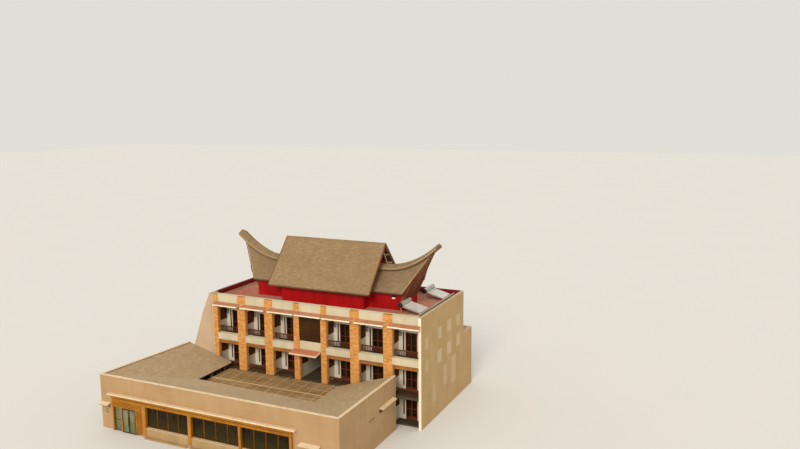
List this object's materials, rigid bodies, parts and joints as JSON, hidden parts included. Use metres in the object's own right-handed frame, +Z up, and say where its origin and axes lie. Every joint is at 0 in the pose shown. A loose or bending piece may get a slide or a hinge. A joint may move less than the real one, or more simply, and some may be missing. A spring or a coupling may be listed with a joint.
{
  "type": "guest house with tongkonan roof",
  "caption": "Three-storey guest house with stone piers, a red penthouse under a horned tongkonan roof, and a low U-shaped front block round a covered court.",
  "frame": {"origin": "middle of the footprint at ground level", "axes": "+X to the right along the front, +Y to the back, +Z up"},
  "size_m": [27.3, 24.95, 16.3016],
  "materials": {
    "cream_paint": "weathered off-white masonry paint",
    "tan_plaster": "tan masonry paint on plaster, with paler patches",
    "pier_stone": "stacked orange sandstone cladding",
    "concrete": "bare cement",
    "shingles": "grey-brown roof shingles",
    "red_paint": "crimson masonry paint",
    "brown_timber": "dark brown stained timber",
    "orange_timber": "orange-brown varnished timber",
    "terracotta": "terracotta tiles with a pale edge",
    "dark_glass": "dark tinted glass",
    "door_metal": "dark anodised door frame",
    "heater_metal": "pale metal tank and collector"
  },
  "bodies": {
    "building": {"annex": "tan_plaster", "court_frame": "brown_timber", "court_roof": "brown_timber", "front_parapet": "cream_paint", "front_solar_heater": "heater_metal", "front_wall_left": "tan_plaster", "front_wall_right": "tan_plaster", "front_wall_upper": "tan_plaster", "front_wing_roof": "shingles", "ground_floor": "concrete", "ground_glass": "dark_glass", "ground_room_wall": "cream_paint", "left_horn_gable": "brown_timber", "left_horn_roof": "shingles", "left_ridge_cap": "shingles", "left_wall": "cream_paint", "left_wing_roof": "shingles", "left_wing_wall": "tan_plaster", "main_roof": "shingles", "penthouse_walls": "red_paint", "pier_1": "pier_stone", "pier_2": "pier_stone", "pier_3": "pier_stone", "pier_4": "pier_stone", "pier_5": "pier_stone", "pier_6": "pier_stone", "pier_7": "pier_stone", "rear_glass": "dark_glass", "rear_solar_heater": "heater_metal", "rear_wall": "tan_plaster", "right_horn_gable": "brown_timber", "right_horn_roof": "shingles", "right_ridge_cap": "shingles", "right_wall": "tan_plaster", "right_wing_roof": "shingles", "right_wing_wall": "tan_plaster", "second_floor": "concrete", "second_glass": "dark_glass", "second_railing_left": "brown_timber", "second_railing_right": "brown_timber", "second_right_glass": "dark_glass", "second_room_wall": "cream_paint", "shopfront_base": "cream_paint", "shopfront_frame": "orange_timber", "shopfront_glass": "dark_glass", "shopfront_ledge": "cream_paint", "sidelight_glass": "dark_glass", "stair_canopy": "terracotta", "stair_screen": "brown_timber", "terrace": "concrete", "terrace_curbs": "cream_paint", "third_floor": "concrete", "third_floor_edge": "cream_paint", "third_floor_railing": "brown_timber", "third_glass": "dark_glass", "third_room_wall": "cream_paint"},
    "left_leaf": {"left_door_leaf": "door_metal", "left_door_glass": "dark_glass"},
    "right_leaf": {"right_door_leaf": "door_metal", "right_door_glass": "dark_glass"}
  },
  "joints": [
    {"name": "left_leaf_hinge", "type": "hinge", "parent": "building", "child": "left_leaf", "pos_m": [-11.03, -12.125, 0], "axis": [0, 0, -1], "range_deg": [0, 90]},
    {"name": "right_leaf_hinge", "type": "hinge", "parent": "building", "child": "right_leaf", "pos_m": [-9.43, -12.125, 0], "axis": [0, 0, 1], "range_deg": [0, 90]}
  ]
}
